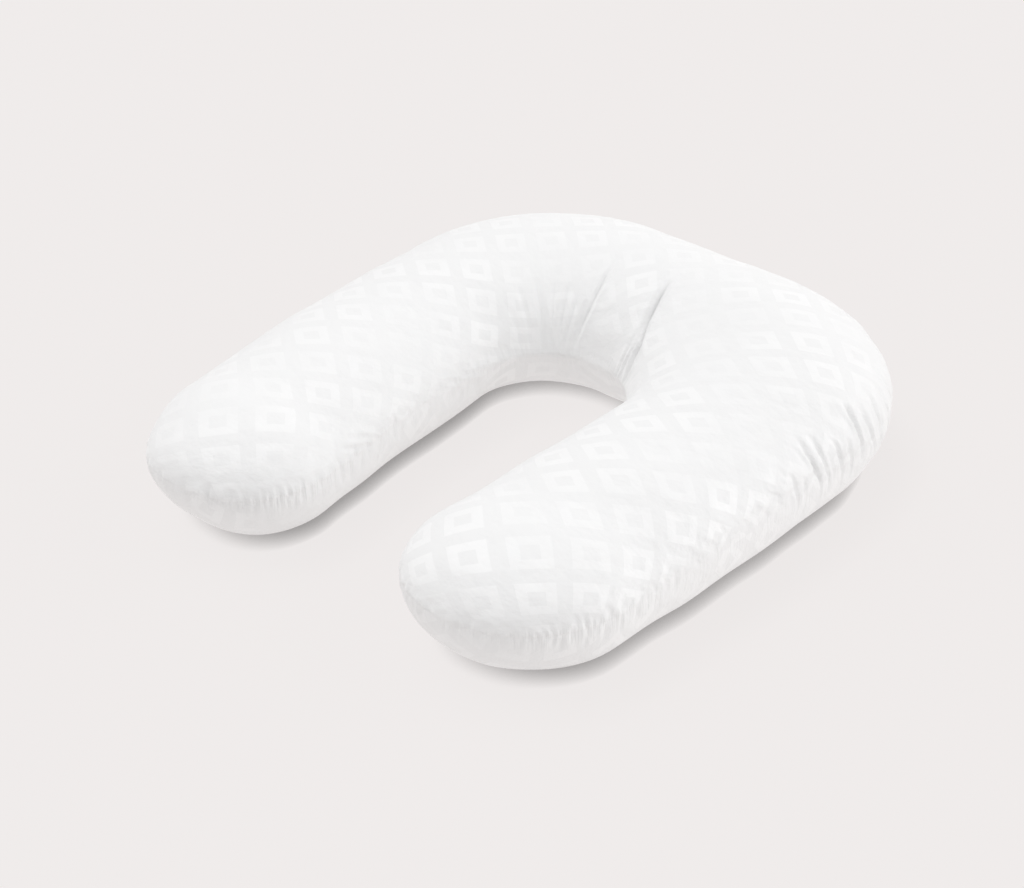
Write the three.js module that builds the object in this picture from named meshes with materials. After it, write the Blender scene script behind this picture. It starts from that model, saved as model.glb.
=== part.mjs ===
import * as THREE from 'three';

const { clamp, lerp, degToRad } = THREE.MathUtils;

// U-shaped stuffed body pillow in millimetres. It rests on Z = 0 with its legs toward -Y and its bend
// toward +Y. Two equal U-shaped panels, sewn together along one seam, make the upper and lower halves.

// Plan: U curves nested between the inner and the outer seam, 2 * HALF_WIDTH apart on the legs.
const SPINE_X = 270;
const HALF_WIDTH = 150;
const BEND = {
  inner: { radius: 113, backY: 139 },
  outer: { radius: 288, backY: 472 },
};
const LEGS = {
  right: { side: 1, endY: -294, toeIn: 23.5 },
  left: { side: -1, endY: -313, toeIn: 35 },
};
const TOE_START_Y = 150;
const TIP_LENGTH = 159;
const TIP_ROUNDING = { plan: 0.868, height: 1.288 };

// Heights of the upper panel's crown and of the widest line, along the U.
const CROWN = { tip: 168, leg: 182, back: 206 };
const WIDEST = { tip: 100, inner: 105, outer: 103 };
const TIP_BLEND = 0.25;
// The lower half of the section sags this share fuller than an oval, and its flat foot spans this angle to
// each side of the lowest point.
const SAG = 0.29;
const FOOT_HALF_ANGLE = 29;

// Stations along each half of the U: -1 at the tip, 0 where the leg starts, 0.5 where the corner starts,
// 0.9 where the back starts and 1 in the middle of the back. Each run is [start, end, steps].
const CORNER_START = 0.5;
const CORNER_END = 0.9;
const STATION_RUNS = [[-1, 0, 20], [0, 0.38, 15], [0.38, 0.6, 18], [0.6, 0.9, 26], [0.9, 1, 7]];

// Section angles in degrees: 0 at the outer seam, 90 on the crown, 180 at the inner seam, 270 on the foot.
const UPPER_ANGLES = [0, 5, 11, 18, 27, 37, 48, 60, 73, 87, 100, 112, 124, 135, 145, 154, 162, 169, 175];
const LOWER_ANGLES = [
  180, 186, 194, 204, 216, 229, 270 - FOOT_HALF_ANGLE, 270, 270 + FOOT_HALF_ANGLE, 311, 324, 336, 346, 354,
];
const SECTION_ANGLES = [...UPPER_ANGLES, ...LOWER_ANGLES];

// The seam: a shallow groove round the outside, and a raised edge where it is stretched round the bend.
// Along the outside of the legs the heavier lower half carries it a few degrees above the widest line.
const SEAM = { groove: 4, grooveAngle: 6, edge: 7, edgeAngle: 14, lift: 13 };

// Long creases of the upper panel, from the inner bend outward: plan points, depth and half width.
const CREASES = [
  { points: [[57, 126], [60, 145], [53, 182], [43, 230], [34, 279]], depth: 9, width: 8 },
  { points: [[-40, 132], [-33, 151], [-36, 175], [-46, 216], [-60, 262]], depth: 7, width: 8 },
  { points: [[48, 132], [50, 152], [45, 172]], depth: 4, width: 5 },
  { points: [[-52, 133], [-54, 150], [-62, 178]], depth: 4, width: 6 },
  { points: [[-66, 124], [-78, 146], [-104, 176]], depth: 5, width: 8 },
  { points: [[-84, 116], [-103, 134], [-134, 156]], depth: 5, width: 8 },
  { points: [[-98, 102], [-122, 118], [-158, 138]], depth: 5, width: 8 },
  { points: [[-106, 84], [-132, 94], [-164, 102]], depth: 4, width: 8 },
  { points: [[86, 110], [104, 128], [128, 158]], depth: 4, width: 8 },
  { points: [[106, 82], [128, 92], [156, 106]], depth: 4, width: 8 },
];

// Puckers across the outer seam: station, depth in mm and reach above the seam in degrees of the section.
const RIGHT_PUCKERS = [
  { at: 0.404, depth: 5, reach: 42 },
  { at: 0.429, depth: 5, reach: 36 },
  { at: 0.453, depth: 6, reach: 30 },
  { at: 0.478, depth: 3.5, reach: 20 },
  { at: 0.514, depth: 9, reach: 40 },
  { at: 0.539, depth: 8, reach: 32 },
  { at: 0.563, depth: 6, reach: 30 },
];
const LEFT_PUCKERS = [
  { at: 0.417, depth: 5, reach: 34 },
  { at: 0.441, depth: 5, reach: 28 },
  { at: 0.465, depth: 6, reach: 36 },
  { at: 0.502, depth: 7, reach: 40 },
  { at: 0.526, depth: 6, reach: 30 },
  { at: 0.551, depth: 5, reach: 26 },
  { at: 0.576, depth: 6, reach: 34 },
];
const PUCKER_HALF_WIDTH = 0.0075;
const REAR_PUCKERS = { from: 0.6, to: 0.84, spacing: 0.0231, depth: 4, reach: 26 };

// Gathers round each tip, spread over the half turn of its seam: shallow on the seam itself, deepest at
// `seamGap` above and below it, and gone at `reach`.
const GATHERS = { count: 20, depth: 3.6, seamGap: 10, reach: 48 };

const COLOUR = 0xf4f4f2;
const ROUGHNESS = 0.6;

const smooth = (x) => {
  const c = clamp(x, 0, 1);
  return c * c * (3 - 2 * c);
};
const bell = (x) => Math.exp(-x * x);

// Plan point at `station` on the nested curve `across`: -1 on the inner seam, 1 on the outer one.
function planPoint(leg, station, across) {
  const k = (across + 1) / 2;
  const x0 = SPINE_X + across * HALF_WIDTH;
  const radius = lerp(BEND.inner.radius, BEND.outer.radius, k);
  const backY = lerp(BEND.inner.backY, BEND.outer.backY, k);
  let x = x0;
  let y = backY;
  if (station < CORNER_START) {
    y = lerp(leg.endY, backY - radius, station / CORNER_START);
  } else if (station < CORNER_END) {
    const turn = ((station - CORNER_START) / (CORNER_END - CORNER_START)) * Math.PI / 2;
    x = x0 - radius + radius * Math.cos(turn);
    y = backY - radius + radius * Math.sin(turn);
  } else {
    x = (x0 - radius) * (1 - station) / (1 - CORNER_END);
  }
  const toe = Math.max((TOE_START_Y - y) / (TOE_START_Y - leg.endY), 0);
  return new THREE.Vector2(leg.side * (x - leg.toeIn * toe * toe), y);
}

function crownHeight(station) {
  const atLeg = lerp(CROWN.tip, CROWN.leg, smooth(station / 0.3));
  return lerp(atLeg, CROWN.back, smooth((station - 0.3) / 0.5));
}

function widestHeight(station, across) {
  const away = smooth(station / TIP_BLEND);
  const level = lerp(WIDEST.inner, WIDEST.outer, (across + 1) / 2);
  return lerp(WIDEST.tip, level, away);
}

// How far up the outside of the section the seam lies, in degrees.
function seamLift(station) {
  return SEAM.lift * smooth(station / 0.2) * (1 - 0.7 * smooth((station - 0.36) / 0.2));
}

// The section angle of a column, with the columns near the outer seam moved along with it.
function liftedAngle(angle, station) {
  const fromSeam = Math.min(angle, 360 - angle);
  return angle + seamLift(station) * (1 - smooth(fromSeam / 48));
}

// A point of the smooth stuffed body, before its seam and folds.
function bodyPoint(leg, station, angle) {
  const along = Math.max(station, 0);
  const tipTurn = Math.max(-station, 0) * Math.PI / 2;
  const across = Math.cos(degToRad(angle));
  const rise = Math.sin(degToRad(angle));
  const narrow = Math.cos(tipTurn) ** TIP_ROUNDING.plan;
  const flatten = narrow ** TIP_ROUNDING.height;
  const plan = planPoint(leg, along, across);
  if (tipTurn > 0) {
    const { centre, direction } = tipFrame(leg);
    plan.sub(centre).multiplyScalar(narrow).add(centre);
    plan.addScaledVector(direction, TIP_LENGTH * Math.sin(tipTurn));
  }
  const level = widestHeight(along, across);
  const lift = rise * flatten;
  const footReach = level / sagged(Math.cos(degToRad(FOOT_HALF_ANGLE)));
  const height = lift > 0 ? (crownHeight(along) - level) * lift : -footReach * sagged(-lift);
  return new THREE.Vector3(plan.x, plan.y, Math.max(level + height, 0));
}

// Depth of the sagged lower half where an oval would have the given depth, both as shares.
function sagged(depth) {
  return depth * (1 + SAG * (1 - depth * depth));
}

// Where a leg's tip starts, and the way that the leg points.
function tipFrame(leg) {
  const centre = planPoint(leg, 0, 1).add(planPoint(leg, 0, -1)).multiplyScalar(0.5);
  const slope = 2 * leg.toeIn / (TOE_START_Y - leg.endY);
  return { centre, direction: new THREE.Vector2(-leg.side * slope, -1).normalize() };
}

// Distance from a plan point to a crease, and the share of its length passed there.
function alongCrease(points, x, y) {
  let best = { distance: Infinity, share: 0 };
  for (let i = 0; i + 1 < points.length; i++) {
    const [ax, ay] = points[i];
    const [dx, dy] = [points[i + 1][0] - ax, points[i + 1][1] - ay];
    const t = clamp(((x - ax) * dx + (y - ay) * dy) / (dx * dx + dy * dy), 0, 1);
    const distance = Math.hypot(x - ax - t * dx, y - ay - t * dy);
    if (distance < best.distance) best = { distance, share: (i + t) / (points.length - 1) };
  }
  return best;
}

// A groove with a soft shoulder on each side; `offset` is in half widths.
const fold = (offset) => bell(offset) - 0.35 * bell((Math.abs(offset) - 2) / 0.9);

function creaseDepth(point, angle) {
  if (angle < 60 || angle > 182) return 0;
  let depth = 0;
  for (const crease of CREASES) {
    const { distance, share } = alongCrease(crease.points, point.x, point.y);
    const strength = smooth((share + 0.35) / 0.5) * (1 - smooth((share - 0.6) / 0.4));
    depth += crease.depth * strength * fold(distance / crease.width);
  }
  return depth;
}

function puckerDepth(leg, station, angle) {
  const fromSeam = Math.min(angle, 360 - angle);
  const rows = leg.side > 0 ? [...RIGHT_PUCKERS] : [...LEFT_PUCKERS];
  for (let at = REAR_PUCKERS.from; at < REAR_PUCKERS.to; at += REAR_PUCKERS.spacing) {
    rows.push({ at, depth: REAR_PUCKERS.depth, reach: REAR_PUCKERS.reach });
  }
  let depth = 0;
  for (const row of rows) {
    const fade = 1 - smooth(fromSeam / row.reach);
    depth += row.depth * fade * fold((station - row.at) / PUCKER_HALF_WIDTH);
  }
  return depth;
}

// Gathers run straight across the tip's seam, so in plan they fan out from where the tip starts.
function gatherDepth(leg, point, angle, station) {
  const { centre, direction } = tipFrame(leg);
  const reach = new THREE.Vector2(point.x, point.y).sub(centre);
  const forward = reach.dot(direction);
  if (forward <= 0) return 0;
  const sideways = leg.side * (reach.x * -direction.y + reach.y * direction.x);
  const turn = Math.atan2(forward, sideways) / Math.PI;
  const level = widestHeight(Math.max(station, 0), Math.cos(degToRad(angle)));
  const rise = Math.abs(point.z - level);
  const fade = (0.3 + 0.7 * smooth(rise / GATHERS.seamGap)) * (1 - smooth(rise / GATHERS.reach));
  const uneven = 0.75 + 0.25 * Math.sin(turn * GATHERS.count * 2.3);
  return GATHERS.depth * smooth(forward / 20) * fade * uneven * Math.cos(turn * GATHERS.count * 2 * Math.PI);
}

function seamDepth(station, angle) {
  const outer = Math.min(angle, 360 - angle);
  const inner = Math.abs(angle - 180);
  const bend = smooth((station - 0.35) / 0.25);
  const groove = SEAM.groove * (bell(outer / SEAM.grooveAngle) + (1 - bend) * bell(inner / SEAM.grooveAngle));
  return groove - bend * SEAM.edge * Math.exp(-inner / SEAM.edgeAngle);
}

function halfStations() {
  const list = [STATION_RUNS[0][0]];
  for (const [start, end, steps] of STATION_RUNS) {
    for (let i = 1; i <= steps; i++) list.push(lerp(start, end, i / steps));
  }
  return list;
}

function buildGeometry() {
  const stations = halfStations();
  const rings = [
    ...stations.map((station) => ({ leg: LEGS.left, station })),
    ...stations.slice(0, -1).reverse().map((station) => ({ leg: LEGS.right, station })),
  ];
  const columns = SECTION_ANGLES.length;
  const body = rings.map(({ leg, station }) => (
    SECTION_ANGLES.map((angle) => bodyPoint(leg, station, liftedAngle(angle, station)))
  ));

  // Outward normal of the smooth body, from its neighbours along and round the section.
  const normalAt = (i, j) => {
    const along = body[i + 1][j].clone().sub(body[i - 1][j]);
    const round = body[i][(j + 1) % columns].clone().sub(body[i][(j + columns - 1) % columns]);
    return round.cross(along).normalize();
  };

  const positions = [];
  const addPoint = (p) => positions.push(p.x, p.y, p.z) / 3 - 1;
  const grid = [];
  for (let i = 1; i + 1 < rings.length; i++) {
    const { leg, station } = rings[i];
    grid.push(SECTION_ANGLES.map((angle, j) => {
      const point = body[i][j];
      const depth = seamDepth(station, angle) + creaseDepth(point, angle)
        + puckerDepth(leg, station, angle) + gatherDepth(leg, point, angle, station);
      const onFoot = point.z === 0;
      return addPoint(onFoot ? point : point.clone().addScaledVector(normalAt(i, j), -depth));
    }));
  }
  const firstTip = addPoint(body[0][0]);
  const lastTip = addPoint(body[rings.length - 1][0]);

  const index = [];
  for (let j = 0; j < columns; j++) {
    const k = (j + 1) % columns;
    index.push(firstTip, grid[0][k], grid[0][j]);
    for (let i = 0; i + 1 < grid.length; i++) {
      const [a, b, c, d] = [grid[i][j], grid[i][k], grid[i + 1][k], grid[i + 1][j]];
      index.push(a, b, c, a, c, d);
    }
    index.push(lastTip, grid[grid.length - 1][j], grid[grid.length - 1][k]);
  }

  const geometry = new THREE.BufferGeometry();
  geometry.setAttribute('position', new THREE.Float32BufferAttribute(positions, 3));
  geometry.setIndex(index);
  geometry.computeBoundingBox();
  const centre = geometry.boundingBox.getCenter(new THREE.Vector3());
  geometry.translate(-centre.x, -centre.y, -geometry.boundingBox.min.z);
  geometry.computeVertexNormals();
  return geometry;
}

const pillow = new THREE.Mesh(
  buildGeometry(),
  new THREE.MeshStandardMaterial({ color: COLOUR, roughness: ROUGHNESS, metalness: 0 }),
);
pillow.name = 'pillow';

const part = new THREE.Group();
part.name = 'pregnancy_pillow';
part.add(pillow);

export default part;
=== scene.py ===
"""Visual model of a U-shaped pregnancy pillow: its stuffed body, its woven cloth and its studio."""

import math

import bmesh
import bpy
import numpy as np
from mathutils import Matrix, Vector


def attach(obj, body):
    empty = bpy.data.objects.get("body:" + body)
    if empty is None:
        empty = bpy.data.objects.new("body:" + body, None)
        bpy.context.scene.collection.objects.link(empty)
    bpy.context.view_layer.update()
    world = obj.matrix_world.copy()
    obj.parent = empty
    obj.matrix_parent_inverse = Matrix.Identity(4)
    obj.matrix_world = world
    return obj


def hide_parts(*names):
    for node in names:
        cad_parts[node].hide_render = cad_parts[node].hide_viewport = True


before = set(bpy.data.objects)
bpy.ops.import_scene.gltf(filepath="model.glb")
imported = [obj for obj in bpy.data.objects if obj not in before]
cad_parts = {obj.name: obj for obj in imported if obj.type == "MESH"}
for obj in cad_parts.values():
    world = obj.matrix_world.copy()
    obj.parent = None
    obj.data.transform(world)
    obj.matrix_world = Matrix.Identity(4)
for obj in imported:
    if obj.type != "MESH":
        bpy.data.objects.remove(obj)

bl_info = {
    "name": "Pregnancy Pillow",
    "version": (1, 0, 0),
    "blender": (4, 5, 0),
    "location": "3D View > Sidebar > Pillow",
    "description": "Makes a stuffed U-shaped pregnancy pillow and a studio round it",
    "category": "Object",
}

MM = 0.001
WELD_DISTANCE = 2e-5
FOLD_SEED = 7

# The short cloth simulation: its length in frames, the rounds of averaging that tell its wrinkles from its
# swelling, the most that a wrinkle may move a point and the height below which the cloth is held, in metres.
PUFF_FRAMES = 10
WRINKLE_ROUNDS = 60
WRINKLE_LIMIT = 0.012
HELD_BELOW = 0.002

# What each vertex keeps: distance along the edge from the tip and height on the cloth above the widest line
# in mm, which side of the U it is on, how far along, and how far the seam stands above the widest line.
MEASURES = ("edge", "height", "side", "station", "lift")

# The woven pattern: the edges of a lozenge's line as shares of its size, and where its painted sheen fades it
# and how far.
LINE_INSIDE, LINE_OUTSIDE = (0.15, 0.165), (0.345, 0.36)
PAINTED_SHEEN_FADE, PATTERN_LEAST = (0.36, 0.66), 0.22
# Heights of the cloth's relief, in metres.
RELIEF = {"fine": 0.0036, "broad": 0.0070, "strands": 0.0032, "weave": 0.00003, "motif": 0.00008}

# The studio. The floor glows evenly for the greater part. Its contact shadow lies mostly on the right of each
# leg, as from soft light on the left; it has a near and a wide part, with their reaches in metres.
BLACK = (0.0, 0.0, 0.0, 1.0)
FLOOR_SIZE = 30.0
GLOW_SHARE, GLOW_STRENGTH = 0.95, 1.0865
SHADOW_WAY = {"X": -0.68, "Y": -0.70, "Z": 0.22}
SHADOW_REACHES, SHADOW_POWER, WIDE_SHADOW = (0.024, 0.090), 1.3, 0.05
WORLD_COLOUR, WORLD_STRENGTH = (0.99, 0.987, 0.992, 1.0), 0.70
# Name, energy, spread in degrees and the way to each lamp.
LAMPS = [
    ("rear_right", 1.22, 60, (0.65, 0.68, 0.34)),
    ("left", 1.00, 60, (-0.64, 0.0, 0.77)),
]

# Creases of the upper panel: plan points in mm from the inner bend outward, depth, half width, and the
# share of its depth that a crease already has at the seam.
BEND_CREASES = [
    ([(69, 122), (66, 147), (54, 180), (41, 223), (28, 281)], 6.5, 3.2, 0.8),
    ([(-44, 124), (-41, 145), (-44, 169), (-54, 210), (-70, 262)], 4.2, 3.0, 0.0),
    ([(54, 124), (57, 146), (51, 172), (43, 200)], 3.0, 2.8, 0.8),
    ([(46, 127), (49, 148), (45, 170)], 2.0, 2.6, 0.8),
    ([(-46, 132), (-47, 152), (-55, 185), (-66, 212)], 2.0, 3.0, 0.3),
    ([(-56, 128), (-62, 150), (-74, 180)], 1.7, 3.0, 0.4),
    ([(-64, 125), (-76, 148), (-98, 190)], 1.9, 3.4, 0.3),
    ([(-76, 120), (-90, 142), (-118, 176)], 1.6, 3.2, 0.3),
    ([(-86, 112), (-104, 130), (-142, 160)], 1.9, 3.6, 0.3),
    ([(-98, 99), (-124, 116), (-160, 138)], 1.7, 3.6, 0.3),
    ([(-105, 84), (-132, 94), (-162, 104)], 1.3, 3.4, 0.3),
]

# Larger puckers across the outer seam at the rear corners and the back: points of distance along the edge
# from the tip and height above the widest line, in mm, then depth and half width.
CORNER_PUCKERS = [
    ([(644, 92), (630, 62), (624, 30), (630, -14)], 3.0, 3.2),
    ([(660, 82), (648, 50), (644, 20), (650, -14)], 3.0, 3.0),
    ([(684, 58), (677, 30), (676, 6), (684, -24)], 3.2, 2.8),
    ([(706, 48), (700, 22), (704, -20)], 2.0, 2.8),
    ([(762, 92), (745, 70), (732, 38), (726, -6)], 4.6, 3.2),
    ([(776, 74), (760, 42), (756, 12), (770, -16)], 4.0, 3.2),
    ([(812, 68), (794, 42), (786, 14), (794, -14)], 3.2, 3.0),
    ([(580, 50), (574, 18), (578, -20)], 2.0, 3.0),
    ([(598, 40), (592, 10), (594, -22)], 1.8, 2.8),
    ([(842, 66), (828, 28), (832, -20)], 2.6, 3.2),
    ([(880, 74), (862, 32), (866, -24)], 2.8, 3.2),
    ([(952, 72), (940, 30), (942, -26)], 2.8, 3.2),
    ([(1024, 66), (1016, 26), (1016, -22)], 2.6, 3.2),
]

# Folds that run slantwise across the inner seam of the left leg, in the same measures.
LEFT_INNER_FOLDS = [
    ([(-520, 14), (-548, 6), (-580, -4), (-602, -12)], 2.2, 3.4),
    ([(-486, 22), (-512, 10), (-540, -6)], 1.6, 3.2),
    ([(-262, 40), (-290, 22), (-318, 4), (-340, -12)], 2.6, 3.6),
    ([(-276, 56), (-304, 36), (-332, 16)], 1.8, 3.6),
]

# Gathers round the tips: where they start and end along the edge, mean spacing, depth and reach in mm.
GATHERED_RUNS = [
    (-330, -210, 14.0, 1.6, 34),
    (-210, 210, 8.5, 1.8, 30),
    (210, 330, 14.0, 1.6, 34),
]

# Slack that the sewing leaves in the cloth beside the seam: distance along the edge from the tip in mm
# (negative on the inner side of the U), share of extra cloth at the seam, and how far from the seam it
# reaches on the upper and on the lower panel, in mm.
SLACK = [
    (-748, 0.024, 80, 40),
    (-640, 0.026, 70, 40),
    (-560, 0.026, 50, 34),
    (-300, 0.026, 44, 34),
    (-230, 0.018, 46, 40),
    (0, 0.016, 48, 44),
    (230, 0.018, 46, 40),
    (300, 0.018, 34, 30),
    (540, 0.020, 36, 30),
    (600, 0.045, 84, 40),
    (820, 0.045, 84, 44),
    (900, 0.040, 60, 44),
    (1120, 0.034, 50, 40),
    (1306, 0.026, 40, 34),
]


class PillowSettings(bpy.types.PropertyGroup):
    """Sizes and finish of the stuffed body."""

    spine_x: bpy.props.FloatProperty(
        name="Leg offset", description="From the middle of the pillow to the centre line of a leg",
        default=0.270, unit="LENGTH")
    half_width: bpy.props.FloatProperty(
        name="Half width", description="Half the width of a leg, seam to seam", default=0.150,
        unit="LENGTH")
    inner_radius: bpy.props.FloatProperty(
        name="Inner radius", description="Radius of the inner bend at the seam", default=0.113,
        unit="LENGTH")
    outer_radius: bpy.props.FloatProperty(
        name="Outer radius", description="Radius of the rear corners at the seam", default=0.288,
        unit="LENGTH")
    inner_back: bpy.props.FloatProperty(
        name="Inner back", description="Where the inner seam crosses the middle", default=0.138,
        unit="LENGTH")
    outer_back: bpy.props.FloatProperty(
        name="Outer back", description="Where the outer seam crosses the middle", default=0.471,
        unit="LENGTH")
    right_end: bpy.props.FloatProperty(
        name="Right leg end", description="Where the right leg's rounded tip starts", default=-0.295,
        unit="LENGTH")
    left_end: bpy.props.FloatProperty(
        name="Left leg end", description="Where the left leg's rounded tip starts", default=-0.314,
        unit="LENGTH")
    right_toe: bpy.props.FloatProperty(
        name="Right toe-in", description="How far the right leg leans in at its end", default=0.0235,
        unit="LENGTH")
    left_toe: bpy.props.FloatProperty(
        name="Left toe-in", description="How far the left leg leans in at its end", default=0.035,
        unit="LENGTH")
    toe_start: bpy.props.FloatProperty(
        name="Toe-in start", description="Where the legs start to lean in", default=0.149, unit="LENGTH")
    tip_length: bpy.props.FloatProperty(
        name="Tip length", description="Length of a rounded tip", default=0.159, unit="LENGTH")
    tip_height: bpy.props.FloatProperty(
        name="Tip height", description="Height where a tip starts", default=0.168, unit="LENGTH")
    leg_height: bpy.props.FloatProperty(
        name="Leg height", description="Height of the legs", default=0.182, unit="LENGTH")
    back_height: bpy.props.FloatProperty(
        name="Back height", description="Height of the back", default=0.206, unit="LENGTH")
    seam_groove: bpy.props.FloatProperty(
        name="Seam groove", description="Depth of the groove that the seam pulls in", default=0.0010,
        unit="LENGTH")
    seam_edge: bpy.props.FloatProperty(
        name="Seam edge", description="Height of the edge where the seam is stretched round the inner bend",
        default=0.007, unit="LENGTH")
    filling_pressure: bpy.props.FloatProperty(
        name="Filling pressure", description="Pressure of the filling on the cloth", default=4.0)
    cloth_stiffness: bpy.props.FloatProperty(
        name="Cloth stiffness", description="Resistance of the cloth to bending", default=0.3)
    cloth_colour: bpy.props.FloatVectorProperty(
        name="Cloth", description="Colour of the ground of the cloth", default=(0.875, 0.875, 0.873),
        size=3, min=0.0, max=1.0, subtype="COLOR")
    motif_colour: bpy.props.FloatVectorProperty(
        name="Motif", description="Colour of the woven motif", default=(0.916, 0.916, 0.914),
        size=3, min=0.0, max=1.0, subtype="COLOR")
    motif_size: bpy.props.FloatProperty(
        name="Motif size", description="Repeat of the woven lozenges", default=0.092, unit="LENGTH")


class StudioSettings(bpy.types.PropertyGroup):
    """Camera, floor and light."""

    azimuth: bpy.props.FloatProperty(
        name="Azimuth", description="Camera direction round the pillow", default=math.radians(41.245),
        subtype="ANGLE")
    elevation: bpy.props.FloatProperty(
        name="Elevation", description="Camera height above the horizon", default=math.radians(32.711),
        subtype="ANGLE")
    distance: bpy.props.FloatProperty(
        name="Distance", description="From the camera to its target", default=2.821, unit="LENGTH")
    target: bpy.props.FloatVectorProperty(
        name="Target", description="Point in the middle of the picture", default=(-0.0583, 0.0133, 0.0),
        size=3, subtype="XYZ")
    lens: bpy.props.FloatProperty(
        name="Lens", description="Focal length in mm", default=67.64)
    floor_colour: bpy.props.FloatVectorProperty(
        name="Floor", description="Colour of the floor", default=(0.80, 0.772, 0.765), size=3, min=0.0,
        max=1.0, subtype="COLOR")


def smooth(x):
    c = np.clip(x, 0.0, 1.0)
    return c * c * (3 - 2 * c)


class StuffedBody:
    """The smooth body in mm, as a grid of rows along the U and columns round its section.

    A station runs from 0 where a leg's tip starts to 1 in the middle of the back.
    """

    corner_start, corner_end = 0.5, 0.9
    tip_rows, leg_rows, corner_rows, back_rows, columns = 64, 150, 140, 38, 147
    tip_rounding = (0.868, 1.288)
    widest = {"tip": 100.0, "inner": 105.0, "outer": 103.0}
    sag, inner_sag_loss = 0.29, 0.7
    foot_angle = 29.0
    seam_tilt, seam_tilt_fade = 13.0, 48.0
    arc_per_radian = 118.0
    tip_radius = 155.0
    edge_steps = 2001
    fuller_by, fuller_at, fuller_spread, fuller_way = 12.0, 70.0, 28.0, (-0.755, -0.656)

    def __init__(self, s):
        self.s = s
        self.half = s.half_width / MM
        tip = np.radians(np.linspace(90, 0, self.tip_rows, endpoint=False))
        along = np.concatenate([
            np.linspace(0, self.corner_start, self.leg_rows, endpoint=False),
            np.linspace(self.corner_start, self.corner_end, self.corner_rows, endpoint=False),
            np.linspace(self.corner_end, 1.0, self.back_rows),
        ])
        side_rows = np.concatenate([-np.sin(tip), along])
        self.rows = np.concatenate([side_rows, side_rows[-2::-1]])
        self.side = np.concatenate([-np.ones(len(side_rows)), np.ones(len(side_rows) - 1)])
        self.angles = np.linspace(0, 2 * np.pi, self.columns)

    def leg(self, right, left, side):
        """The measure of the leg on that side, in mm."""
        return np.where(side > 0, right, left) / MM

    def plan(self, side, station, across):
        """Where the body's points stand seen from above."""
        s = self.s
        k = (across + 1) / 2
        x0 = s.spine_x / MM + across * self.half
        radius = (s.inner_radius + (s.outer_radius - s.inner_radius) * k) / MM
        back = (s.inner_back + (s.outer_back - s.inner_back) * k) / MM
        end = self.leg(s.right_end, s.left_end, side)
        on_leg = np.clip(station / self.corner_start, 0, 1)
        turn = np.clip((station - self.corner_start) / (self.corner_end - self.corner_start), 0, 1)
        on_back = np.clip((station - self.corner_end) / (1 - self.corner_end), 0, 1)
        angle = turn * np.pi / 2
        x = x0 - radius + radius * np.cos(angle)
        y = back - radius + radius * np.sin(angle)
        y = np.where(station < self.corner_start, end + (back - radius - end) * on_leg, y)
        x = np.where(station > self.corner_end, (x0 - radius) * (1 - on_back), x)
        toe_start = s.toe_start / MM
        lean = np.maximum((toe_start - y) / (toe_start - end), 0)
        return side * (x - self.leg(s.right_toe, s.left_toe, side) * lean ** 2), y

    def heading(self, side):
        """The way that each leg points at its end."""
        s = self.s
        end = self.leg(s.right_end, s.left_end, side)
        slope = 2 * self.leg(s.right_toe, s.left_toe, side) / (s.toe_start / MM - end)
        length = np.hypot(slope, 1)
        return -side * slope / length, -1 / length

    def crown(self, station):
        """Height of the top."""
        s = self.s
        at_leg = s.tip_height + (s.leg_height - s.tip_height) * smooth(station / 0.3)
        return (at_leg + (s.back_height - at_leg) * smooth((station - 0.3) / 0.5)) / MM

    def level(self, station, across):
        """Height of the widest line."""
        along = self.widest["inner"] + (self.widest["outer"] - self.widest["inner"]) * (across + 1) / 2
        return self.widest["tip"] + (along - self.widest["tip"]) * smooth(station / 0.25)

    def sagged(self, depth, sag):
        """Depth of the sagged lower half where an oval would have the given depth, both as shares."""
        return depth * (1 + sag * (1 - depth * depth))

    def seam_lift(self, station):
        """How far the seam stands above the widest line, as an angle of the section."""
        less = 0.7 * smooth((station - 0.36) / 0.2)
        return np.radians(self.seam_tilt) * smooth(station / 0.2) * (1 - less)

    def grid(self):
        """Positions and the measures that the folds and the cloth need, each as rows by columns."""
        row, angle = np.meshgrid(self.rows, self.angles, indexing="ij")
        side = np.broadcast_to(self.side[:, None], row.shape)
        station = np.maximum(row, 0)
        depth = np.maximum(-row, 0)
        in_tip = row < 0
        from_seam = np.minimum(angle, 2 * np.pi - angle)
        tilt_share = 1 - smooth(np.degrees(from_seam) / self.seam_tilt_fade)
        section = angle + self.seam_lift(station) * tilt_share
        across, rise = np.cos(section), np.sin(section)
        across[:, [0, -1]] = np.cos(self.seam_lift(station[:, [0, -1]]))

        disc_x = across * np.sqrt(1 - depth ** 2 / 2)
        disc_y = depth * np.sqrt(1 - across ** 2 / 2)
        cos_turn = np.sqrt(np.maximum(1 - disc_y ** 2, 1e-12))
        tip_across = np.clip(disc_x / cos_turn, -1, 1)
        narrow = cos_turn ** self.tip_rounding[0]
        used_across = np.where(in_tip, tip_across, across)
        used_rise = np.where(in_tip, np.sign(rise) * np.sqrt(1 - tip_across ** 2), rise)
        used_rise = used_rise * np.where(in_tip, narrow ** self.tip_rounding[1], 1)
        end_row = depth > 1 - 1e-9
        used_rise = np.where(end_row, 0, used_rise)

        x, y = self.plan(side, station, used_across)
        x1, y1 = self.plan(side, station * 0, used_across * 0 + 1)
        x2, y2 = self.plan(side, station * 0, used_across * 0 - 1)
        cx, cy = (x1 + x2) / 2, (y1 + y2) / 2
        hx, hy = self.heading(side)
        tip_length = self.s.tip_length / MM
        x = np.where(in_tip, cx + (x - cx) * narrow + hx * disc_y * tip_length, x)
        y = np.where(in_tip, cy + (y - cy) * narrow + hy * disc_y * tip_length, y)

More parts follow.
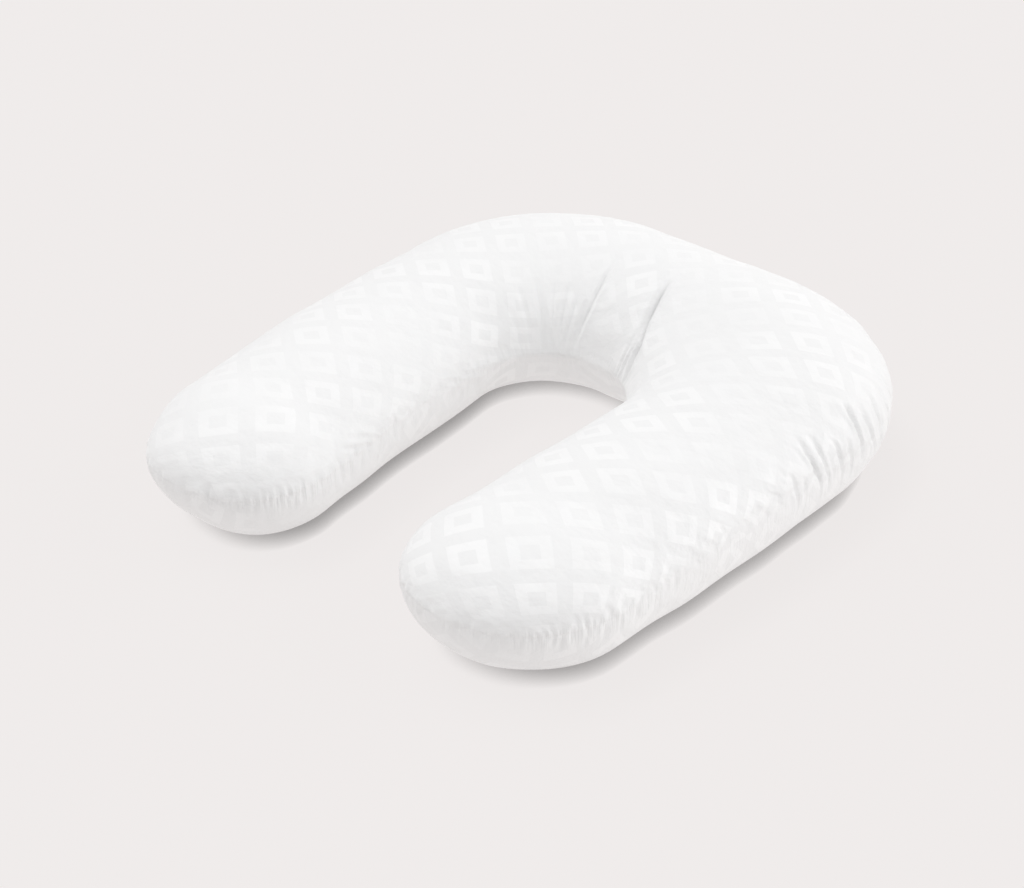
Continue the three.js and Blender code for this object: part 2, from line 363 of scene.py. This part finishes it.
        level = self.level(station, used_across)
        foot_reach = level / self.sagged(math.cos(math.radians(self.foot_angle)), self.sag)
        upper = (self.crown(station) - level) * np.maximum(used_rise, 0)
        sag = self.sag * (1 - self.inner_sag_loss * smooth((station - 0.4) / 0.2) * (across < 0))
        z = np.maximum(level + upper - foot_reach * self.sagged(np.maximum(-used_rise, 0), sag), 0)

        # The left tip is stuffed fuller at its outer corner.
        radius = np.clip(np.hypot(disc_x, disc_y), 0, 1)
        from_corner = (np.degrees(np.arctan2(disc_y, disc_x)) - self.fuller_at) / self.fuller_spread
        fuller = self.fuller_by * np.exp(-from_corner ** 2) * radius ** 4 * (in_tip & (side < 0))
        x, y = x + self.fuller_way[0] * fuller, y + self.fuller_way[1] * fuller

        # Distance along the edge from the tip, and height on the cloth above the widest line.
        outer, inner = self.edge_lengths()
        quarter = self.tip_radius * np.pi / 2
        edge = np.where(across > 0, quarter + outer[:, None], -quarter - inner[:, None])
        around = self.tip_radius * (np.pi / 2 - np.arctan2(disc_y, disc_x))
        edge = np.where(in_tip, around, edge)
        low = np.pi / 2 - np.arcsin(np.where(in_tip, radius, np.abs(across)))
        height = np.where(rise < 0, -1, 1) * low * self.arc_per_radian

        # The same point on the flat panel, in mm.
        spread = self.arc_per_radian / self.half
        flat_across = np.sign(across) * np.arcsin(np.abs(across)) * spread
        u, v = self.plan(side, station, flat_across)
        stretch = np.arcsin(radius) * spread / np.maximum(radius, 1e-6)
        reach = stretch * self.half
        u = np.where(in_tip, cx + side * disc_x * reach + hx * disc_y * reach, u)
        v = np.where(in_tip, cy + hy * disc_y * reach, v)
        lift = self.seam_lift(station) * self.arc_per_radian * (across > 0)
        return {
            "x": x, "y": y, "z": z, "edge": edge, "height": height, "u": u, "v": v,
            "side": side, "station": row, "lift": lift,
        }

    def edge_lengths(self):
        """Length of the outer and the inner edge from where each leg's tip starts, for every row."""
        station = np.maximum(self.rows, 0)
        found = []
        for across in (1.0, -1.0):
            length = np.zeros(len(station))
            for side in (-1, 1):
                mine = self.side == side
                steps = np.linspace(0, 1, self.edge_steps)
                x, y = self.plan(steps * 0 + side, steps, steps * 0 + across)
                total = np.concatenate([[0], np.cumsum(np.hypot(np.diff(x), np.diff(y)))])
                length[mine] = np.interp(station[mine], steps, total)
            found.append(length)
        return found


def polyline_offset(points, x, y):
    """Signed distance from each (x, y) to a line of points, and the share of the line passed there."""
    best = np.full(x.shape, 1e9)
    signed = np.zeros(x.shape)
    share = np.zeros(x.shape)
    count = len(points) - 1
    for i in range(count):
        ax, ay = points[i]
        dx, dy = points[i + 1][0] - ax, points[i + 1][1] - ay
        length = math.hypot(dx, dy)
        t = ((x - ax) * dx + (y - ay) * dy) / length ** 2
        c = np.clip(t, 0, 1)
        distance = np.hypot(x - ax - c * dx, y - ay - c * dy)
        nearer = distance < best
        best = np.where(nearer, distance, best)
        turn = (dx * (y - ay) - dy * (x - ax)) / length
        signed = np.where(nearer, np.sign(turn) * distance, signed)
        open_share = np.where(i == 0, np.minimum(t, 1), np.where(i == count - 1, np.maximum(t, 0), c))
        share = np.where(nearer, (i + open_share) / count, share)
    return signed, share


def valley(offset):
    """A sharp groove between two soft shoulders; the offset is in half widths."""
    return np.exp(-np.abs(offset) ** 1.35) - 0.32 * np.exp(-((np.abs(offset) - 2.2) / 1.1) ** 2)


class Folds:
    """Depth of every fold below the smooth body, in mm, at points given by their measures."""

    # Groove and edge of the seam: how far each reaches up and down the cloth, in mm.
    groove_reach, edge_reach = 4.5, 16.0
    # Waves of the uneven stuffing: their lengths in mm, how many of each, and the height of the longest.
    sway_lengths, sway_count, sway_height = (150.0, 95.0, 60.0), 5, 0.35
    # Height above the floor from which folds have their full depth, in mm.
    clear_height = 14.0

    def __init__(self, points, rng):
        self.p = points
        self.rng = rng
        self.depth = np.zeros(points["x"].shape)

    def crease(self, x, y, mask, row, at_seam):
        """One crease along a line of points; it fades in from its first point and out at its last."""
        points, depth, width = row
        reach = 5 * width
        xs, ys = zip(*points)
        near = mask & (x > min(xs) - reach) & (x < max(xs) + reach)
        near &= (y > min(ys) - reach) & (y < max(ys) + reach)
        offset, share = polyline_offset(points, x[near], y[near])
        start = at_seam + (1 - at_seam) * smooth(share / 0.4)
        strength = start * smooth((share + 0.2) / 0.2) * (1 - smooth((share - 0.7) / 0.35))
        wide = width * (0.7 + 0.5 * np.clip(share, 0, 1))
        self.depth[near] += depth * strength * valley(offset / wide)

    def bend(self):
        """The creases on top of the inner bend."""
        top = (self.p["height"] > 4) & (self.p["y"] > -20)
        for points, depth, width, at_seam in BEND_CREASES:
            self.crease(self.p["x"], self.p["y"], top, (points, depth, width), at_seam)

    def corners(self):
        """The puckers of the rear corners and the folds of the left leg."""
        for side, rows in ((1, CORNER_PUCKERS), (-1, CORNER_PUCKERS), (-1, LEFT_INNER_FOLDS)):
            mine = (self.p["side"] == side) & (np.abs(self.p["height"]) < 130)
            for points, depth, width in rows:
                edge, height = self.p["edge"], self.p["height"]
                order = points[::-1]
                self.crease(edge, height, mine, (order, depth, width), 0.35)

    def gathers(self):
        """The short gathers on both panels round the tips."""
        for side in (-1, 1):
            for start, end, spacing, depth, reach in GATHERED_RUNS:
                at = start
                while at < end:
                    at += spacing * self.rng.uniform(0.6, 1.4)
                    for panel in (1, -1):
                        self.gather(side, panel, at + self.rng.normal(0, 1.5), spacing, depth, reach)

    def gather(self, side, panel, at, spacing, depth, reach):
        rng = self.rng
        length, deep = reach * rng.uniform(0.5, 1.3), depth * rng.uniform(0.5, 1.4)
        lean, width = rng.normal(0, 0.12), spacing * rng.uniform(0.28, 0.42)
        rise = (self.p["height"] - self.p["lift"]) * panel
        near = (self.p["side"] == side) & (np.abs(self.p["edge"] - at) < 6 * width)
        near &= (rise > -3) & (rise < length)
        rise = np.maximum(rise[near], 0)
        offset = (self.p["edge"][near] - at - lean * rise) / (width * (0.8 + 0.5 * rise / length))
        strength = (0.4 + 0.6 * smooth(rise / 8)) * (1 - smooth(rise / length))
        self.depth[near] += deep * strength * valley(offset)

    def seam(self, groove, edge):
        """The groove of the seam, and the edge that it makes round the inner bend."""
        height = self.p["height"] - self.p["lift"]
        station = self.p["station"]
        inner = self.p["edge"] < 0
        bend = smooth((station - 0.35) / 0.25) * inner
        on_leg = smooth((np.abs(self.p["edge"]) - 200) / 120)
        across = np.exp(-np.abs(height / self.groove_reach) ** 1.2)
        self.depth += groove * (1 - bend) * (1 - 0.6 * on_leg) * across
        self.depth -= edge * bend * np.exp(-np.abs(height) / self.edge_reach)

    def sway(self):
        """Broad uneven stuffing."""
        x, y, z = (self.p[k] for k in "xyz")
        total = np.zeros(x.shape)
        for wave in self.sway_lengths:
            for _ in range(self.sway_count):
                way = self.rng.normal(size=3)
                way *= 2 * np.pi / wave / np.linalg.norm(way)
                phase = self.rng.random() * 2 * np.pi
                height = wave / self.sway_lengths[0]
                total += height * np.sin(way[0] * x + way[1] * y + way[2] * z + phase)
        self.depth += self.sway_height * total * smooth(np.abs(self.p["height"]) / 60)


def pillow_mesh(settings):
    """The body as a grid that is wrapped round the U and closed along its seam."""
    body = StuffedBody(settings)
    g = body.grid()
    rows, columns = g["x"].shape
    bm = bmesh.new()
    bmesh.ops.create_grid(bm, x_segments=rows - 1, y_segments=columns - 1, size=1.0)
    mesh = bpy.data.meshes.new("pillow_cover")
    bm.to_mesh(mesh)
    bm.free()

    flat = np.empty(len(mesh.vertices) * 3, np.float32)
    mesh.vertices.foreach_get("co", flat)
    flat = flat.reshape(-1, 3)
    i = np.rint((flat[:, 0] + 1) / 2 * (rows - 1)).astype(int)
    j = np.rint((flat[:, 1] + 1) / 2 * (columns - 1)).astype(int)
    points = {name: values[i, j] for name, values in g.items()}
    place = np.stack([points[k] for k in "xyz"], 1) * MM
    mesh.vertices.foreach_set("co", place.astype(np.float32).ravel())

    corner = np.empty(len(mesh.loops), np.int32)
    mesh.loops.foreach_get("vertex_index", corner)
    for name, (a, b) in {"cloth": ("u", "v"), "edging": ("edge", "height")}.items():
        layer = mesh.uv_layers.new(name=name)
        values = np.stack([points[a][corner], points[b][corner]], 1) * MM
        layer.uv.foreach_set("vector", values.astype(np.float32).ravel())
    for name in MEASURES:
        layer = mesh.attributes.new(name, "FLOAT", "POINT")
        layer.data.foreach_set("value", points[name].astype(np.float32))

    bm = bmesh.new()
    bm.from_mesh(mesh)
    bmesh.ops.remove_doubles(bm, verts=bm.verts, dist=WELD_DISTANCE)
    bmesh.ops.recalc_face_normals(bm, faces=bm.faces)
    for face in bm.faces:
        face.smooth = True
    bm.to_mesh(mesh)
    bm.free()
    mesh.update()
    return mesh


def vertex_positions(mesh):
    values = np.empty(len(mesh.vertices) * 3, np.float32)
    mesh.attributes["position"].data.foreach_get("vector", values)
    return values.reshape(-1, 3).astype(float)


def vertex_measures(mesh, *names):
    """The measures that were kept on the vertices, by name."""
    found = {}
    for name in names:
        values = np.empty(len(mesh.vertices), np.float32)
        mesh.attributes[name].data.foreach_get("value", values)
        found[name] = values.astype(float)
    return found


def vertex_normals(mesh):
    values = np.empty(len(mesh.vertices) * 3, np.float32)
    mesh.vertex_normals.foreach_get("vector", values)
    return values.reshape(-1, 3).astype(float)


def fold(mesh, settings):
    """Presses every fold into the smooth body, and fades them out where it meets the floor."""
    place = vertex_positions(mesh) / MM
    points = {**dict(zip("xyz", place.T)), **vertex_measures(mesh, *MEASURES)}
    folds = Folds(points, np.random.default_rng(FOLD_SEED))
    folds.seam(settings.seam_groove / MM, settings.seam_edge / MM)
    folds.sway()
    folds.bend()
    folds.corners()
    folds.gathers()
    clear = smooth(points["z"] / folds.clear_height)
    moved = place - vertex_normals(mesh) * (folds.depth * clear)[:, None]
    moved[:, 2] = np.maximum(moved[:, 2], 0)
    mesh.vertices.foreach_set("co", (moved * MM).astype(np.float32).ravel())
    mesh.update()


def smoothed(mesh, field, rounds):
    """A field on the vertices after rounds of averaging with the neighbours."""
    ends = np.empty(len(mesh.edges) * 2, np.int32)
    mesh.edges.foreach_get("vertices", ends)
    here, there = np.concatenate([ends.reshape(-1, 2), ends.reshape(-1, 2)[:, ::-1]]).T
    count = len(mesh.vertices)
    share = 1 / np.bincount(here, minlength=count)
    for _ in range(rounds):
        around = np.stack([np.bincount(here, field[there, k], count) for k in range(field.shape[1])], 1)
        field = (field + around * share[:, None]) / 2
    return field


def slack_share(points):
    """Share of extra cloth at each vertex."""
    at, amount, above, below = np.array(SLACK).T
    edge, height = points["edge"], points["height"] - points["lift"]
    reach = np.where(height > 0, np.interp(edge, at, above), np.interp(edge, at, below))
    return np.interp(edge, at, amount) * smooth(np.abs(height) / 5) * (1 - smooth(np.abs(height) / reach))


def vertex_group(body, name, weights):
    group = body.vertex_groups.new(name=name)
    for i, weight in enumerate(weights.tolist()):
        group.add([i], weight, "REPLACE")
    return name


def puff(context, body, settings):
    """Lets the slack cloth buckle under the pressure of the filling, and keeps what it adds in wrinkles."""
    mesh = body.data
    start = vertex_positions(mesh)
    points = vertex_measures(mesh, "edge", "height", "lift")
    slack = slack_share(points)
    bend_seam = (np.abs(points["height"]) < 1) & (points["edge"] < -500)
    held = bend_seam | (start[:, 2] < HELD_BELOW)
    modifier = body.modifiers.new("puff", "CLOTH")
    cloth = modifier.settings
    cloth.quality = 4
    cloth.tension_stiffness = 15
    cloth.compression_stiffness = 15
    cloth.shear_stiffness = 5
    cloth.bending_stiffness = settings.cloth_stiffness
    cloth.use_pressure = True
    cloth.uniform_pressure_force = settings.filling_pressure
    cloth.effector_weights.gravity = 0
    cloth.shrink_min = -slack.max()
    cloth.shrink_max = 0
    cloth.vertex_group_shrink = vertex_group(body, "taut", 1 - slack / slack.max())
    cloth.vertex_group_mass = vertex_group(body, "held", held.astype(float))
    modifier.collision_settings.use_collision = False
    modifier.point_cache.frame_start = 1
    modifier.point_cache.frame_end = PUFF_FRAMES
    for frame_number in range(1, PUFF_FRAMES + 1):
        context.scene.frame_set(frame_number)
    puffed = body.evaluated_get(context.evaluated_depsgraph_get()).data
    moved = vertex_positions(puffed) - start
    body.modifiers.remove(modifier)
    body.vertex_groups.clear()
    context.scene.frame_set(1)
    moved -= smoothed(mesh, moved, WRINKLE_ROUNDS)
    reach = np.linalg.norm(moved, axis=1, keepdims=True)
    moved *= np.minimum(1, WRINKLE_LIMIT / np.maximum(reach, 1e-9))
    place = start + moved
    place[:, 2] = np.maximum(place[:, 2], 0)
    mesh.vertices.foreach_set("co", place.astype(np.float32).ravel())
    mesh.update()


class Term:
    """A socket in an expression; its operators add the Math nodes."""

    def __init__(self, finish, socket):
        self.finish, self.socket = finish, socket

    def math(self, operation, *others):
        values = {n: o for n, o in enumerate((self, *others))}
        return self.finish.node("ShaderNodeMath", {"operation": operation}, values)

    def __add__(self, other): return self.math("ADD", other)
    __radd__ = __add__
    def __mul__(self, other): return self.math("MULTIPLY", other)
    __rmul__ = __mul__
    def __sub__(self, other): return self.math("SUBTRACT", other)
    def __rsub__(self, other): return (self * -1).math("ADD", other)
    def __truediv__(self, other): return self.math("DIVIDE", other)
    def __abs__(self): return self.math("ABSOLUTE")
    def __pow__(self, other): return self.math("POWER", other)

    def pingpong(self, other): return self.math("PINGPONG", other)

    def step(self, low, high):
        settings = {"interpolation_type": "SMOOTHSTEP"}
        inputs = {"Value": self, "From Min": low, "From Max": high}
        return self.finish.node("ShaderNodeMapRange", settings, inputs)


class Finish:
    """A material that is built node by node."""

    def __init__(self, name):
        self.material = bpy.data.materials.new(name)
        self.material.use_nodes = True
        self.tree = self.material.node_tree
        self.shader = self.tree.nodes["Principled BSDF"]

    def node(self, kind, settings=None, inputs=None, output=0):
        node = self.tree.nodes.new(kind)
        for key, value in (settings or {}).items():
            setattr(node, key, value)
        for key, value in (inputs or {}).items():
            self.feed(node.inputs[key], value)
        return Term(self, node.outputs[output])

    def feed(self, socket, value):
        if isinstance(value, Term):
            self.tree.links.new(value.socket, socket)
        else:
            socket.default_value = value

    def set(self, **values):
        for key, value in values.items():
            self.feed(self.shader.inputs[key.replace("_", " ")], value)

    def glowing(self, glow, share, strength):
        """Blends the lit surface with an even glow, so that broad shadows on it stay faint."""
        output = self.tree.nodes["Material Output"]
        emission = self.node("ShaderNodeEmission", {}, {"Color": glow, "Strength": strength})
        inputs = {0: share, 1: Term(self, self.shader.outputs[0]), 2: emission}
        self.feed(output.inputs["Surface"], self.node("ShaderNodeMixShader", {}, inputs))

    def split(self, vector):
        node = self.tree.nodes.new("ShaderNodeSeparateXYZ")
        self.tree.links.new(vector.socket, node.inputs[0])
        return [Term(self, o) for o in node.outputs]

    def noise(self, vector, scale, detail=2.0, roughness=0.5):
        inputs = {"Vector": vector, "Scale": scale, "Detail": detail, "Roughness": roughness}
        return self.node("ShaderNodeTexNoise", {}, inputs)

    def streaks(self, vector, scale):
        """Noise that is stretched differently each way."""
        stretched = self.node("ShaderNodeMapping", {}, {"Vector": vector, "Scale": scale})
        return self.noise(stretched, 1.0, 1.0)

    def mix(self, factor, a, b):
        node = self.tree.nodes.new("ShaderNodeMix")
        node.data_type = "RGBA"
        for socket, value in zip((node.inputs["Factor"], node.inputs[6], node.inputs[7]), (factor, a, b)):
            self.feed(socket, value)
        return Term(self, node.outputs[2])


def satin(settings):
    """White satin-faced cloth with a tone-on-tone woven pattern of open lozenges."""
    f = Finish("white_satin")
    cloth = f.node("ShaderNodeUVMap", {"uv_map": "cloth"})
    edge = f.node("ShaderNodeUVMap", {"uv_map": "edging"})
    u, v, _ = f.split(cloth)
    along_seam, height, _ = f.split(edge)
    lower = height.math("LESS_THAN", 0.0)
    size = settings.motif_size
    # The distance to the lattice, in a measure whose circles are lozenges; the other half of the lozenges
    # stands half a step away both ways. The lower panel's pattern starts elsewhere than the upper one's.
    across = (u / size + 0.37 * lower).pingpong(0.5)
    along = (v / (size * 0.9) + 0.21 * lower).pingpong(0.5)
    near = (across + along).math("MINIMUM", 1 - across - along)
    motif = near.step(*LINE_INSIDE) * (1 - near.step(*LINE_OUTSIDE))
    # Painted sheen: the motif's contrast is weakened in random patches, because satin shows its pattern more
    # or less with the fall of light.
    painted_sheen_fade = f.noise(cloth, 7.0, 1.5).step(*PAINTED_SHEEN_FADE)
    motif = motif * (PATTERN_LEAST + (1 - PATTERN_LEAST) * painted_sheen_fade)
    weave = f.streaks(cloth, (900.0, 2400.0, 1.0))
    ground = (*settings.cloth_colour, 1.0)
    raised = (*settings.motif_colour, 1.0)
    f.set(Base_Color=f.mix(motif, ground, raised), Roughness=0.50 - 0.14 * motif, Sheen_Weight=0.15,
          Sheen_Roughness=0.5, Specular_IOR_Level=0.4)
    crumple = f.noise(cloth, 40.0, 3.0, 0.6) * RELIEF["fine"]
    crumple = crumple + f.noise(cloth, 13.0, 2.0, 0.5) * RELIEF["broad"]
    # Fine strands beside the seam, most of all round the tips.
    strands = f.streaks(edge, (240.0, 20.0, 1.0))
    by_seam = (1 - abs(height).step(0.003, 0.026)) * (1 - 0.6 * abs(along_seam).step(0.25, 0.35))
    relief = crumple + strands * by_seam * RELIEF["strands"]
    relief = relief + weave * RELIEF["weave"] + motif * RELIEF["motif"]
    f.set(Normal=f.node("ShaderNodeBump", {}, {"Strength": 0.6, "Distance": 1.0, "Height": relief}))
    return f.material


class PILLOW_OT_body(bpy.types.Operator):
    """Make the stuffed U-shaped body in its satin cloth"""

    bl_idname = "pillow.body"
    bl_label = "Stuffed Body"

    def execute(self, context):
        settings = context.scene.pillow_settings
        mesh = pillow_mesh(settings)
        fold(mesh, settings)
        body = bpy.data.objects.new("pillow_cover", mesh)
        context.scene.collection.objects.link(body)
        puff(context, body, settings)
        mesh.materials.append(satin(settings))
        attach(body, "root")
        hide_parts("pillow")
        return {"FINISHED"}


class PILLOW_OT_studio(bpy.types.Operator):
    """Make the floor, the light and the camera"""

    bl_idname = "pillow.studio"
    bl_label = "Studio"

    def execute(self, context):
        settings = context.scene.studio_settings
        self.floor(context, settings)
        self.light(context)
        self.camera(context, settings)
        return {"FINISHED"}

    def floor(self, context, settings):
        mesh = bpy.data.meshes.new("floor")
        bm = bmesh.new()
        bmesh.ops.create_grid(bm, x_segments=1, y_segments=1, size=FLOOR_SIZE)
        bm.to_mesh(mesh)
        bm.free()
        floor = bpy.data.objects.new("floor", mesh)
        context.scene.collection.objects.link(floor)
        f = Finish("floor")
        colour = (*settings.floor_colour, 1.0)
        leaning = f.node("ShaderNodeCombineXYZ", {}, SHADOW_WAY)
        near, wide = (self.open_air(f, leaning, reach) for reach in SHADOW_REACHES)
        open_share = near ** SHADOW_POWER * (1 - WIDE_SHADOW) + wide * WIDE_SHADOW
        glow = f.mix(open_share, BLACK, colour)
        f.set(Base_Color=colour, Roughness=0.9, Specular_IOR_Level=0.0)
        f.glowing(glow, GLOW_SHARE, GLOW_STRENGTH)
        mesh.materials.append(f.material)

    def open_air(self, finish, leaning, reach):
        inputs = {"Distance": reach, "Normal": leaning}
        return finish.node("ShaderNodeAmbientOcclusion", {"samples": 8}, inputs, output=1)

    def light(self, context):
        context.scene.view_settings.view_transform = "Standard"
        world = bpy.data.worlds.new("studio")
        context.scene.world = world
        world.use_nodes = True
        background = world.node_tree.nodes["Background"]
        background.inputs["Color"].default_value = WORLD_COLOUR
        background.inputs["Strength"].default_value = WORLD_STRENGTH
        for name, energy, spread, way in LAMPS:
            data = bpy.data.lights.new(name, "SUN")
            data.energy = energy
            data.angle = math.radians(spread)
            lamp = bpy.data.objects.new(name, data)
            lamp.rotation_mode = "QUATERNION"
            lamp.rotation_quaternion = Vector(way).to_track_quat("Z", "Y")
            context.scene.collection.objects.link(lamp)

    def camera(self, context, settings):
        azimuth, elevation = settings.azimuth, settings.elevation
        back = Vector((math.sin(azimuth) * math.cos(elevation), -math.cos(azimuth) * math.cos(elevation),
                       math.sin(elevation)))
        data = bpy.data.cameras.new("camera")
        data.lens = settings.lens
        data.sensor_width = 36.0
        camera = bpy.data.objects.new("camera", data)
        camera.location = Vector(settings.target) + back * settings.distance
        camera.rotation_mode = "QUATERNION"
        camera.rotation_quaternion = (-back).to_track_quat("-Z", "Y")
        context.scene.collection.objects.link(camera)
        context.scene.camera = camera


class PILLOW_PT_panel(bpy.types.Panel):
    """Lists the pieces of the pillow and the studio"""

    bl_idname = "PILLOW_PT_panel"
    bl_label = "Pregnancy Pillow"
    bl_space_type = "VIEW_3D"
    bl_region_type = "UI"
    bl_category = "Pillow"

    def draw(self, context):
        layout = self.layout
        for settings, operator in (
            (context.scene.pillow_settings, PILLOW_OT_body),
            (context.scene.studio_settings, PILLOW_OT_studio),
        ):
            box = layout.box()
            for name in type(settings).__annotations__:
                box.prop(settings, name)
            box.operator(operator.bl_idname)


CLASSES = (PillowSettings, StudioSettings, PILLOW_OT_body, PILLOW_OT_studio, PILLOW_PT_panel)


def register():
    for cls in CLASSES:
        bpy.utils.register_class(cls)
    bpy.types.Scene.pillow_settings = bpy.props.PointerProperty(type=PillowSettings)
    bpy.types.Scene.studio_settings = bpy.props.PointerProperty(type=StudioSettings)


def unregister():
    del bpy.types.Scene.studio_settings
    del bpy.types.Scene.pillow_settings
    for cls in reversed(CLASSES):
        bpy.utils.unregister_class(cls)


def main():
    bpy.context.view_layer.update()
    register()
    bpy.ops.pillow.body()
    bpy.ops.pillow.studio()
    bpy.context.view_layer.update()


if __name__ == "__main__":
    main()
